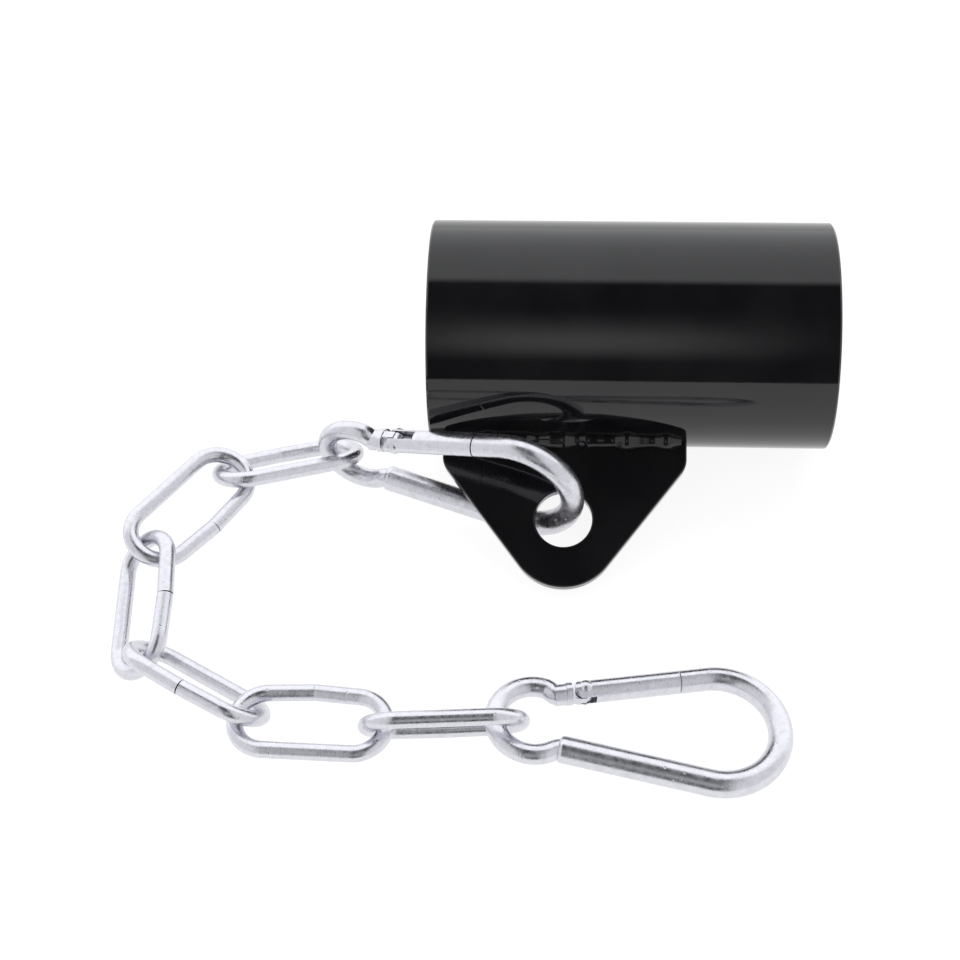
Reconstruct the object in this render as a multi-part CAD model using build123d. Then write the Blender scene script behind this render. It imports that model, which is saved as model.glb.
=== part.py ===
from build123d import *
import math
import os

# A sleeve with an eye lug, a snap hook in the lug, a six-link chain and a second snap hook.
# Lengths are in millimetres and angles in degrees.
# The origin is the centre of the sleeve's bore, +X runs along the bore and +Z is up.

# Sleeve tube
TUBE_RADIUS = 30.9
BORE_RADIUS = 26.0
TUBE_LENGTH = 108.2
TUBE_EDGE_CHAMFER = 0.5

# Eye lug: a flat plate that stands out radially from the sleeve, tilted down towards the floor
LUG_THICKNESS = 4.0
LUG_TILT = 23.9
LUG_CENTRE_X = -17.4
LUG_HALF_WIDTH = 33.0
LUG_SHOULDER_RADIUS = 6.0
LUG_SHOULDER_CENTRE = 36.0
LUG_TIP_RADIUS = 14.8
LUG_TIP_CENTRE = 56.8
LUG_HOLE_RADIUS = 7.7
LUG_HOLE_CENTRE = 52.9
LUG_EDGE_ROUND = 0.45

# Weld beads in the corners between the lug and the sleeve
WELD_RADIUS = 2.7
WELD_WAVES = [(0.30, 9.7), (0.12, 5.3), (0.22, 17.0)]
WELD_POINT_PITCH = 0.85
WELD_END_MARGIN = 1.5

# Snap hook, drawn in its own plane: +X from the eye to the wide end, +Y towards the gate
EYE_RADIUS = 9.9
EYE_ROD_RADIUS = 2.6
EYE_ARC_END = 74.0
SHOULDER_X = 6.2
BLOCK_X = 5.0
BLOCK_IN_PLANE = 2.65
BLOCK_ACROSS = 3.0
COLLAR_LENGTH = 1.5
SPINE_ROD_RADIUS = 3.45
SHOULDER_ROUND = 1.2
WIDE_END_X = 46.7
WIDE_END_RADIUS = 15.4
SIDE_SLOPE = 11.0
NOSE_ROD_IN_PLANE = 2.75
NOSE_ROD_ACROSS = 3.45
COLLAR_X = 9.4
RIVET_X = 12.9
SEAM_X = 36.6
SEAM_GAP = 0.35

# Gate of the snap hook
GATE_SLOT_WIDTH = 2.8
GATE_SLOT_LENGTH = 6.2
TONGUE_THICKNESS = 2.1
TONGUE_TIP_RADIUS = 2.2
RIVET_RADIUS = 1.2
RIVET_CLEARANCE = 0.06
RIVET_HEAD_RADIUS = 1.75
RIVET_HEAD_HEIGHT = 0.8
SPRING_BORE_RADIUS = 1.45
SPRING_BORE_END = 16.0
SPRING_COIL_RADIUS = 1.05
SPRING_WIRE_RADIUS = 0.22
SPRING_PITCH = 1.15
PLUNGER_RADIUS = 1.2
PLUNGER_LENGTH = 2.4
PLUNGER_GAP = 0.3

# Chain link: a bent wire with straight sides, round ends and a butt joint in one side
WIRE_RADIUS = 2.15
LINK_LENGTH = 43.0
LINK_WIDTH = 20.4
BUTT_RISE = 0.7
BUTT_GAP = 0.1

# Where each piece lies: turns about the fixed X, Y and Z axes, and then the position
HOOK_1_LIES = (90.0, -7.5, -18.5, (-73.6, -28.9, -18.6))
HOOK_2_LIES = (-1.0, 4.0, 0.0, (-23.9, -109.8, -23.2))
LINKS_LIE = [
    (-147.0, -8.5, -158.0, (-94.0, -29.2, -22.4)),
    (-16.0, -1.0, -125.5, (-118.6, -47.5, -18.9)),
    (39.5, 8.0, -88.5, (-127.5, -77.4, -22.2)),
    (132.0, 3.5, -28.5, (-110.3, -101.5, -22.2)),
    (2.5, -3.0, -3.5, (-80.0, -112.4, -22.5)),
    (-68.5, 0.5, 4.0, (-46.3, -112.8, -20.8)),
]


def polar(radius, angle, centre=(0.0, 0.0)):
    """A point on a circle in the drawing plane."""
    return (
        centre[0] + radius * math.cos(math.radians(angle)),
        centre[1] + radius * math.sin(math.radians(angle)),
    )


def turned(x_angle, y_angle, z_angle, position):
    """A placement: turn about the fixed X, then Y, then Z axis, and then move to the position."""
    turn = Rotation(0, 0, z_angle) * Rotation(0, y_angle, 0) * Rotation(x_angle, 0, 0)
    return Location(position) * turn


def make_tube():
    outer = Cylinder(TUBE_RADIUS, TUBE_LENGTH)
    tube = outer - Cylinder(BORE_RADIUS, TUBE_LENGTH + 2)
    tube = chamfer(tube.edges().filter_by(GeomType.CIRCLE), TUBE_EDGE_CHAMFER)
    return Rotation(0, 90, 0) * tube


def lug_outline():
    """The rounded triangle: X along the sleeve, Y the distance from the sleeve's axis."""
    shoulder_x = LUG_HALF_WIDTH - LUG_SHOULDER_RADIUS
    circles = [
        (shoulder_x, LUG_SHOULDER_CENTRE, LUG_SHOULDER_RADIUS),
        (-shoulder_x, LUG_SHOULDER_CENTRE, LUG_SHOULDER_RADIUS),
        (0.0, LUG_TIP_CENTRE, LUG_TIP_RADIUS),
    ]
    # the straight flank that touches a shoulder's circle and the tip's circle
    run = shoulder_x
    rise = LUG_TIP_CENTRE - LUG_SHOULDER_CENTRE
    span = math.hypot(run, rise)
    flank = math.degrees(math.atan2(rise, -run))
    lean = math.degrees(math.asin((LUG_TIP_RADIUS - LUG_SHOULDER_RADIUS) / span))
    normal = flank - 90 - lean
    right_shoulder = polar(LUG_SHOULDER_RADIUS, normal, circles[0][:2])
    right_tip = polar(LUG_TIP_RADIUS, normal, circles[2][:2])
    left_shoulder = (-right_shoulder[0], right_shoulder[1])
    left_tip = (-right_tip[0], right_tip[1])
    half_shoulder = polar(LUG_SHOULDER_RADIUS, normal / 2, circles[0][:2])
    root = TUBE_RADIUS - 3
    with BuildSketch() as sketch:
        with BuildLine():
            Line((-LUG_HALF_WIDTH, root), (LUG_HALF_WIDTH, root))
            Line((LUG_HALF_WIDTH, root), (LUG_HALF_WIDTH, LUG_SHOULDER_CENTRE))
            ThreePointArc((LUG_HALF_WIDTH, LUG_SHOULDER_CENTRE), half_shoulder, right_shoulder)
            Line(right_shoulder, right_tip)
            ThreePointArc(right_tip, (0, LUG_TIP_CENTRE + LUG_TIP_RADIUS), left_tip)
            Line(left_tip, left_shoulder)
            ThreePointArc(
                left_shoulder, (-half_shoulder[0], half_shoulder[1]), (-LUG_HALF_WIDTH, LUG_SHOULDER_CENTRE)
            )
            Line((-LUG_HALF_WIDTH, LUG_SHOULDER_CENTRE), (-LUG_HALF_WIDTH, root))
        make_face()
        with Locations((0, LUG_HOLE_CENTRE)):
            Circle(LUG_HOLE_RADIUS, mode=Mode.SUBTRACT)
    return sketch.sketch


def lug_place():
    """The lug's plane: its X runs along the sleeve, its Y away from the sleeve's axis."""
    tilt = math.radians(LUG_TILT)
    return Plane(
        origin=(LUG_CENTRE_X, 0, 0),
        x_dir=(1, 0, 0),
        z_dir=(0, math.sin(tilt), -math.cos(tilt)),
    )


def make_lug():
    plate = extrude(lug_outline(), LUG_THICKNESS / 2, both=True)
    wide_faces = plate.faces().filter_by(Axis.Z)
    rims = [edge for face in wide_faces for edge in face.edges() if edge.center().Y > TUBE_RADIUS]
    plate = fillet(rims, LUG_EDGE_ROUND)
    plate = lug_place() * plate
    sleeve_body = Rotation(0, 90, 0) * Cylinder(TUBE_RADIUS, TUBE_LENGTH)
    return plate - sleeve_body


def make_weld(side, lug):
    """A rippled bead of weld in the corner between the sleeve and one face of the lug."""
    half = LUG_HALF_WIDTH - WELD_END_MARGIN
    steps = round(2 * half / WELD_POINT_PITCH)
    crest = []
    for step in range(steps + 1):
        x = -half + 2 * half * step / steps
        ripple = sum(size * math.sin(2 * math.pi * x / pitch + side * pitch) for size, pitch in WELD_WAVES)
        end_taper = min(1.0, 0.55 + (half - abs(x)) / 6)
        crest.append((x, (WELD_RADIUS + ripple) * end_taper))
    with BuildSketch() as sketch:
        with BuildLine():
            Spline(*crest)
            Line(crest[-1], (half, 0))
            Line((half, 0), (-half, 0))
            Line((-half, 0), crest[0])
        make_face()
    bead = revolve(sketch.sketch, Axis.X)
    reach = math.sqrt(TUBE_RADIUS**2 - (LUG_THICKNESS / 2) ** 2)
    bead = lug_place() * Pos(0, reach, side * LUG_THICKNESS / 2) * bead
    sleeve_body = Rotation(0, 90, 0) * Cylinder(TUBE_RADIUS, TUBE_LENGTH)
    bead = bead - sleeve_body - lug
    far_side = lug_place() * Pos(0, TUBE_RADIUS, -side * 20) * Box(200, 60, 40)
    return bead - far_side


def side_y(x):
    """The distance from the hook's long axis to the middle of its straight side."""
    slope = math.radians(SIDE_SLOPE)
    touch_x = WIDE_END_X - WIDE_END_RADIUS * math.sin(slope)
    touch_y = WIDE_END_RADIUS * math.cos(slope)
    return touch_y - (touch_x - x) * math.tan(slope)


def gate_frame():
    """The gate's own frame: its origin at the rivet, +X along the gate to the seam, +Y out of the hook."""
    return Location((RIVET_X, side_y(RIVET_X), 0)) * Rotation(0, 0, SIDE_SLOPE)


def along_side(x):
    """The distance along the gate's line from the rivet's middle to a point at that x."""
    return (x - RIVET_X) / math.cos(math.radians(SIDE_SLOPE))


def side_bar(start_x, end_x, in_plane, across):
    """A straight oval bar on the gate's line, in the gate's own frame."""
    start = along_side(start_x)
    bar = extrude(Ellipse(across, in_plane), along_side(end_x) - start)
    return Pos(start, 0, 0) * Rotation(0, 90, 0) * bar


def eye_rod():
    """The thin rod bent round the eye; both its ends curve into the hook's straight sides."""
    slope = math.radians(SIDE_SLOPE)
    neck_end = (BLOCK_X + 1.2, side_y(BLOCK_X + 1.2))
    spine_end = (SHOULDER_X + 1.2, -side_y(SHOULDER_X + 1.2))
    arc_end = polar(EYE_RADIUS, EYE_ARC_END)
    turn_in = math.radians(EYE_ARC_END)
    with BuildLine() as path:
        Spline(
            neck_end,
            arc_end,
            tangents=[(-math.cos(slope), -math.sin(slope)), (-math.sin(turn_in), math.cos(turn_in))],
        )
        ThreePointArc(arc_end, (-EYE_RADIUS, 0), (arc_end[0], -arc_end[1]))
        Spline(
            (arc_end[0], -arc_end[1]),
            spine_end,
            tangents=[(math.sin(turn_in), math.cos(turn_in)), (math.cos(slope), -math.sin(slope))],
        )
    section = Plane(origin=path.line @ 0, z_dir=path.line % 0) * Circle(EYE_ROD_RADIUS)
    return sweep(section, path=path.line)


def wide_end():
    """The wide bend: round where the spine meets it and pressed flatter where the nose starts."""
    reach = 90 + SIDE_SLOPE
    centre = (WIDE_END_X, 0)
    with BuildLine() as path:
        ThreePointArc(
            polar(WIDE_END_RADIUS, -reach, centre),
            polar(WIDE_END_RADIUS, 0, centre),
            polar(WIDE_END_RADIUS, reach, centre),
        )
    sections = []
    for share in (0.0, 0.5, 1.0):
        in_plane = SPINE_ROD_RADIUS + (NOSE_ROD_IN_PLANE - SPINE_ROD_RADIUS) * share
        plane = Plane(origin=path.line @ share, x_dir=(0, 0, 1), z_dir=path.line % share)
        sections.append(plane * Ellipse(NOSE_ROD_ACROSS, in_plane))
    return sweep(sections, path=path.line, multisection=True)


def hook_rod():
    """The bent rod: thin at the eye, a full round spine, a wide end and a pressed nose and neck."""
    touch_x = WIDE_END_X - WIDE_END_RADIUS * math.sin(math.radians(SIDE_SLOPE))
    spine_start = along_side(SHOULDER_X)
    spine_length = along_side(touch_x) - spine_start
    spine = Rotation(0, 90, 0) * Cylinder(SPINE_ROD_RADIUS, spine_length)
    spine = Pos(spine_start + spine_length / 2, 0, 0) * spine
    spine = fillet(spine.edges().filter_by(GeomType.CIRCLE).sort_by(Axis.X)[0], SHOULDER_ROUND)
    spine = mirror(gate_frame() * spine, Plane.XZ)
    block = side_bar(BLOCK_X, COLLAR_X - 0.5, BLOCK_IN_PLANE, BLOCK_ACROSS)
    collar = side_bar(COLLAR_X - COLLAR_LENGTH, COLLAR_X, NOSE_ROD_IN_PLANE, NOSE_ROD_ACROSS)
    nose = side_bar(SEAM_X + SEAM_GAP, touch_x, NOSE_ROD_IN_PLANE, NOSE_ROD_ACROSS)
    return eye_rod() + spine + wide_end() + gate_frame() * (block + collar) + gate_frame() * nose


def gate_length():
    """The distance along the gate from the rivet's middle to the seam."""
    return along_side(SEAM_X)


def make_hook_body():
    """The bent rod with its tongue, which enters the gate's slot and holds the rivet."""
    reach = 1.0 - along_side(COLLAR_X)
    height = 2 * NOSE_ROD_IN_PLANE
    neck = Pos(-reach / 2, 0, 0) * Box(reach, height - 0.5, TONGUE_THICKNESS)
    tip = Cylinder(TONGUE_TIP_RADIUS, TONGUE_THICKNESS)
    tongue = neck + tip - Cylinder(RIVET_RADIUS + RIVET_CLEARANCE, TONGUE_THICKNESS + 2)
    return hook_rod() + gate_frame() * tongue


def rivet_head(side):
    """One peened dome of the rivet, standing on a flank of the gate."""
    dome_radius = (RIVET_HEAD_RADIUS**2 + RIVET_HEAD_HEIGHT**2) / (2 * RIVET_HEAD_HEIGHT)
    foot = NOSE_ROD_ACROSS - 0.35
    centre = foot + RIVET_HEAD_HEIGHT - dome_radius
    dome = Pos(0, 0, side * centre) * Sphere(dome_radius)
    keep = Pos(0, 0, side * (foot + RIVET_HEAD_HEIGHT / 2)) * Cylinder(RIVET_HEAD_RADIUS, RIVET_HEAD_HEIGHT)
    return dome & keep


def make_rivet():
    shank = Cylinder(RIVET_RADIUS, 2 * (NOSE_ROD_ACROSS - 0.3))
    return gate_frame() * (shank + rivet_head(1) + rivet_head(-1))


def make_gate(rivet):
    """The pressed bar that closes the hook: slotted for the tongue and bored for the spring."""
    length = gate_length()
    bar = Rotation(0, 90, 0) * extrude(Ellipse(NOSE_ROD_ACROSS, NOSE_ROD_IN_PLANE), length + 5)
    bar = Pos(-5, 0, 0) * bar
    round_end = Cylinder(NOSE_ROD_IN_PLANE, 20)
    keep = round_end + Pos(length / 2, 0, 0) * Box(length, 20, 20)
    bar = bar & keep
    through_end = TONGUE_TIP_RADIUS + 0.25
    through_length = 5 + through_end
    slot = Pos(through_end - through_length / 2, 0, 0) * Box(through_length, 20, GATE_SLOT_WIDTH)
    slot += Pos(GATE_SLOT_LENGTH / 2, 5, 0) * Box(GATE_SLOT_LENGTH, 10, GATE_SLOT_WIDTH)
    bore = Pos(SPRING_BORE_END / 2, 0, 0) * Rotation(0, 90, 0) * Cylinder(SPRING_BORE_RADIUS, SPRING_BORE_END)
    bar = bar - slot - bore
    return gate_frame() * bar - rivet


def make_plunger():
    """The small piston that the spring presses against the round tip of the tongue."""
    start = TONGUE_TIP_RADIUS + PLUNGER_GAP
    plunger = Rotation(0, 90, 0) * Cylinder(PLUNGER_RADIUS, PLUNGER_LENGTH)
    return gate_frame() * Pos(start + PLUNGER_LENGTH / 2, 0, 0) * plunger


def make_spring():
    """The coil spring in the gate's bore, between the plunger and the bore's end."""
    start = TONGUE_TIP_RADIUS + PLUNGER_GAP + PLUNGER_LENGTH + SPRING_WIRE_RADIUS + 0.05
    length = SPRING_BORE_END - SPRING_WIRE_RADIUS - 0.05 - start
    coil = Helix(SPRING_PITCH, length, SPRING_COIL_RADIUS)
    section = Plane(origin=coil @ 0, z_dir=coil % 0) * Circle(SPRING_WIRE_RADIUS)
    spring = sweep(section, path=coil)
    return gate_frame() * Pos(start, 0, 0) * Rotation(0, 90, 0) * spring


def make_link():
    """One link: the wire starts at the butt joint, runs round both ends and comes back to it."""
    end_radius = LINK_WIDTH / 2 - WIRE_RADIUS
    half_side = LINK_LENGTH / 2 - WIRE_RADIUS - end_radius
    butt_y = end_radius + BUTT_RISE
    # the straight part from the raised butt joint touches the end's circle at this angle
    span = math.hypot(half_side, butt_y)
    aim = math.degrees(math.atan2(butt_y, -half_side))
    touch = aim - math.degrees(math.acos(end_radius / span))
    right_end = polar(end_radius, touch, (half_side, 0))
    left_end = (-right_end[0], right_end[1])
    start = (BUTT_GAP / 2, butt_y)
    with BuildLine() as path:
        Line(start, right_end)
        ThreePointArc(right_end, (half_side + end_radius, 0), (half_side, -end_radius))
        Line((half_side, -end_radius), (-half_side, -end_radius))
        ThreePointArc((-half_side, -end_radius), (-half_side - end_radius, 0), left_end)
        Line(left_end, (-start[0], start[1]))
    section = Plane(origin=path.line @ 0, z_dir=path.line % 0) * Circle(WIRE_RADIUS)
    return sweep(section, path=path.line)


def lying(lies):
    """The placement that one of the lists above describes."""
    x_angle, y_angle, z_angle, position = lies
    return turned(x_angle, y_angle, z_angle, position)


def make_sleeve_pieces():
    lug = make_lug()
    return {
        "sleeve_tube": make_tube(),
        "eye_lug": lug,
        "weld_bead_upper": make_weld(-1, lug),
        "weld_bead_lower": make_weld(1, lug),
    }


def make_hook_pieces():
    rivet = make_rivet()
    return {
        "body": make_hook_body(),
        "gate": make_gate(rivet),
        "rivet": rivet,
        "spring": make_spring(),
        "plunger": make_plunger(),
    }


pieces = make_sleeve_pieces()
for number, lies in enumerate((HOOK_1_LIES, HOOK_2_LIES), start=1):
    for name, shape in make_hook_pieces().items():
        pieces[f"hook_{number}_{name}"] = lying(lies) * shape
for number, lies in enumerate(LINKS_LIE, start=1):
    pieces[f"chain_link_{number}"] = lying(lies) * make_link()

os.makedirs("parts", exist_ok=True)
for name, shape in pieces.items():
    shape.label = name
    export_step(shape, f"parts/{name}.step")
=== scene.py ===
import math

import bpy
from mathutils import Euler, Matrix

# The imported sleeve, hooks and chain, painted and plated, on a pale floor in a soft white studio.
# Lengths are in metres.

FLOOR_Z = -0.0313
FLOOR_SIZE = 7.0
FLOOR_GLOW = 0.90

CAMERA_PLACE = (-0.0148, -0.3616, 0.3966)
CAMERA_TURN_DEGREES = (38.054, 1.674, 2.356)
CAMERA_LENS_MM = 72.6
CAMERA_SENSOR_MM = 36.0
CAMERA_CLIP_START = 0.01

ENAMEL_NODES = ("sleeve_tube", "eye_lug", "weld_bead_upper", "weld_bead_lower")
# How coarse the zinc's mottle is on the hooks and on the links
HOOK_MOTTLE = 1.25
LINK_MOTTLE = 0.9

# The studio's brightness by direction: white behind and at both sides, dark above and in front
STUDIO_BACK = 1.35
STUDIO_SIDE = 0.85
STUDIO_DARK = 0.05
# How far a direction leans back or sideways where the white starts and where it is full
BACK_EDGE = (0.13, 0.27)
SIDE_EDGE = (0.20, 0.36)
# A soft glow in the dark part, which the gloss paint mirrors as a haze
GLOW_HEIGHT = 0.64
GLOW_HALF_HEIGHT = 0.34
GLOW_HALF_WIDTH = 0.15
GLOW_LEVEL = 0.9
STUDIO_TINT = (0.975, 0.985, 1.0, 1.0)


class Material:
    """A node material with one Principled shader, and short ways to add the nodes that feed it."""

    def __init__(self, name):
        self.material = bpy.data.materials.new(name)
        self.material.use_nodes = True
        self.nodes = self.material.node_tree.nodes
        self.links = self.material.node_tree.links
        self.shader = self.nodes["Principled BSDF"]
        self.place = self.nodes.new("ShaderNodeTexCoord").outputs["Object"]

    def noise(self, size, detail=3.0, distortion=0.0):
        """Cloudy noise whose patches are about size metres across."""
        node = self.nodes.new("ShaderNodeTexNoise")
        node.inputs["Scale"].default_value = 1.0 / size
        node.inputs["Detail"].default_value = detail
        node.inputs["Distortion"].default_value = distortion
        self.links.new(self.place, node.inputs["Vector"])
        return node.outputs["Fac"]

    def spots(self, spacing, radius):
        """1 in small round spots about spacing metres apart, and 0 between them."""
        node = self.nodes.new("ShaderNodeTexVoronoi")
        node.inputs["Scale"].default_value = 1.0 / spacing
        self.links.new(self.place, node.inputs["Vector"])
        return self.remap(node.outputs["Distance"], radius, radius * 0.5, 0.0, 1.0)

    def remap(self, value, from_low, from_high, to_low, to_high):
        """value moved from one range to another, and held inside it."""
        node = self.nodes.new("ShaderNodeMapRange")
        node.inputs["From Min"].default_value = from_low
        node.inputs["From Max"].default_value = from_high
        node.inputs["To Min"].default_value = to_low
        node.inputs["To Max"].default_value = to_high
        self.links.new(value, node.inputs["Value"])
        return node.outputs["Result"]

    def colours(self, value, *stops):
        """The colour at value on a ramp of (position, red, green, blue) stops."""
        node = self.nodes.new("ShaderNodeValToRGB")
        ramp = node.color_ramp
        while len(ramp.elements) < len(stops):
            ramp.elements.new(0.5)
        for element, (position, red, green, blue) in zip(ramp.elements, stops):
            element.position = position
            element.color = (red, green, blue, 1.0)
        self.links.new(value, node.inputs["Fac"])
        return node.outputs["Color"]

    def bump(self, height, depth, strength, before=None):
        """A surface normal with that height, depth metres deep, on top of an earlier bump."""
        node = self.nodes.new("ShaderNodeBump")
        node.inputs["Strength"].default_value = strength
        node.inputs["Distance"].default_value = depth
        self.links.new(height, node.inputs["Height"])
        if before is not None:
            self.links.new(before, node.inputs["Normal"])
        return node.outputs["Normal"]

    def feed(self, **sockets):
        """Links outputs to the shader's sockets, which are named with underscores for spaces."""
        for name, output in sockets.items():
            self.links.new(output, self.shader.inputs[name.replace("_", " ")])


def black_enamel():
    """Deep black gloss enamel with a slight orange peel and a slow waviness."""
    paint = Material("black_gloss_enamel")
    paint.shader.inputs["IOR"].default_value = 1.5
    colour = paint.colours(paint.noise(0.02), (0.3, 0.004, 0.004, 0.005), (0.7, 0.010, 0.010, 0.011))
    roughness = paint.remap(paint.noise(0.011, 4.0), 0.3, 0.7, 0.045, 0.085)
    wave = paint.bump(paint.noise(0.03, 1.0), 0.0006, 0.12)
    peel = paint.bump(paint.noise(0.0022, 2.0), 0.00005, 0.10, wave)
    paint.feed(Base_Color=colour, Roughness=roughness, Normal=peel)
    return paint.material


def zinc(name, coarseness):
    """Bright zinc plate: mottled, faintly lavender, with soft scratches and small pits."""
    plate = Material(name)
    plate.shader.inputs["Metallic"].default_value = 1.0
    mottle = plate.noise(0.0014 * coarseness, 5.0, 0.6)
    colour = plate.colours(
        mottle,
        (0.30, 0.62, 0.62, 0.66),
        (0.50, 0.68, 0.68, 0.73),
        (0.75, 0.72, 0.72, 0.77),
    )
    roughness = plate.remap(plate.noise(0.0016 * coarseness, 4.0), 0.3, 0.7, 0.21, 0.34)
    dents = plate.bump(plate.noise(0.006, 2.0), 0.0002, 0.15)
    grain = plate.bump(plate.noise(0.0005, 4.0), 0.00004, 0.45, dents)
    pits = plate.bump(plate.spots(0.0024, 0.14), -0.00008, 0.5, grain)
    plate.feed(Base_Color=colour, Roughness=roughness, Normal=pits)
    return plate.material


def dark_steel():
    """Plain steel of the coil and the plunger, which the gate hides."""
    steel = Material("plain_spring_steel")
    steel.shader.inputs["Metallic"].default_value = 1.0
    colour = steel.colours(steel.noise(0.001), (0.3, 0.30, 0.30, 0.31), (0.7, 0.45, 0.45, 0.46))
    steel.feed(Base_Color=colour, Roughness=steel.remap(steel.noise(0.0007), 0.3, 0.7, 0.3, 0.5))
    return steel.material


def pale_floor():
    """A matt pale floor that glows almost white, so that shadows on it stay faint."""
    floor = Material("pale_floor")
    floor.shader.inputs["Specular IOR Level"].default_value = 0.1
    floor.shader.inputs["Roughness"].default_value = 0.9
    colour = floor.colours(floor.noise(0.4), (0.3, 0.19, 0.19, 0.192), (0.7, 0.21, 0.21, 0.21))
    floor.feed(Base_Color=colour)
    floor.shader.inputs["Emission Color"].default_value = (1.0, 1.0, 1.0, 1.0)
    floor.shader.inputs["Emission Strength"].default_value = FLOOR_GLOW
    return floor.material


def paint_nodes():
    """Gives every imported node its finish."""
    enamel = black_enamel()
    steel = dark_steel()
    hook_zinc = zinc("bright_zinc_hook", HOOK_MOTTLE)
    link_zinc = zinc("bright_zinc_link", LINK_MOTTLE)
    for name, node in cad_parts.items():
        if name in ENAMEL_NODES:
            finish = enamel
        elif name.endswith(("spring", "plunger")):
            finish = steel
        elif name.startswith("chain_link"):
            finish = link_zinc
        else:
            finish = hook_zinc
        for material_slot in node.material_slots:
            material_slot.material = finish


def make_floor():
    half = FLOOR_SIZE / 2
    corners = [(-half, -half, FLOOR_Z), (half, -half, FLOOR_Z), (half, half, FLOOR_Z), (-half, half, FLOOR_Z)]
    mesh = bpy.data.meshes.new("studio_floor")
    mesh.from_pydata(corners, [], [(0, 1, 2, 3)])
    floor = bpy.data.objects.new("studio_floor", mesh)
    bpy.context.scene.collection.objects.link(floor)
    mesh.materials.append(pale_floor())


def make_studio():
    """Soft white light from behind and from both sides, with darkness above and in front."""
    world = bpy.data.worlds.new("soft_studio")
    bpy.context.scene.world = world
    world.use_nodes = True
    nodes = world.node_tree.nodes
    links = world.node_tree.links
    background = nodes["Background"]
    background.inputs["Color"].default_value = STUDIO_TINT
    direction = nodes.new("ShaderNodeSeparateXYZ")
    links.new(nodes.new("ShaderNodeTexCoord").outputs["Generated"], direction.inputs["Vector"])

    def soft_step(value, start, end, level):
        node = nodes.new("ShaderNodeMapRange")
        node.interpolation_type = "SMOOTHSTEP"
        node.inputs["From Min"].default_value = start
        node.inputs["From Max"].default_value = end
        node.inputs["To Max"].default_value = level
        links.new(value, node.inputs["Value"])
        return node.outputs["Result"]

    def calculate(operation, first, second=None):
        node = nodes.new("ShaderNodeMath")
        node.operation = operation
        links.new(first, node.inputs[0])
        if isinstance(second, float):
            node.inputs[1].default_value = second
        elif second is not None:
            links.new(second, node.inputs[1])
        return node.outputs["Value"]

    across = calculate("ABSOLUTE", direction.outputs["X"])
    off_height = calculate("ABSOLUTE", calculate("SUBTRACT", direction.outputs["Z"], GLOW_HEIGHT))
    behind = soft_step(direction.outputs["Y"], *BACK_EDGE, STUDIO_BACK)
    sides = soft_step(across, *SIDE_EDGE, STUDIO_SIDE)
    glow_across = soft_step(across, GLOW_HALF_WIDTH, 0.0, GLOW_LEVEL)
    glow_up = soft_step(off_height, GLOW_HALF_HEIGHT, 0.0, 1.0)
    glow = calculate("MULTIPLY", glow_across, glow_up)
    level = calculate("MAXIMUM", calculate("MAXIMUM", behind, sides), glow)
    level = calculate("ADD", level, STUDIO_DARK)
    links.new(level, background.inputs["Strength"])


def make_camera():
    lens = bpy.data.cameras.new("camera")
    lens.lens = CAMERA_LENS_MM
    lens.sensor_width = CAMERA_SENSOR_MM
    lens.clip_start = CAMERA_CLIP_START
    camera = bpy.data.objects.new("camera", lens)
    camera.location = CAMERA_PLACE
    camera.rotation_euler = Euler([math.radians(angle) for angle in CAMERA_TURN_DEGREES])
    bpy.context.scene.collection.objects.link(camera)
    bpy.context.scene.camera = camera


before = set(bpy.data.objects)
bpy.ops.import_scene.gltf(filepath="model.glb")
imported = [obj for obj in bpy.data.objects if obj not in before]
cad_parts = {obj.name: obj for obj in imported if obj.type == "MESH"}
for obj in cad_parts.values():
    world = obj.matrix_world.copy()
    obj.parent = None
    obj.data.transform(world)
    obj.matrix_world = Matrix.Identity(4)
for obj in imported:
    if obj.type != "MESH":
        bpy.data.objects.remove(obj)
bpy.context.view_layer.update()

paint_nodes()
make_floor()
make_studio()
make_camera()
bpy.context.scene.view_settings.view_transform = "Standard"
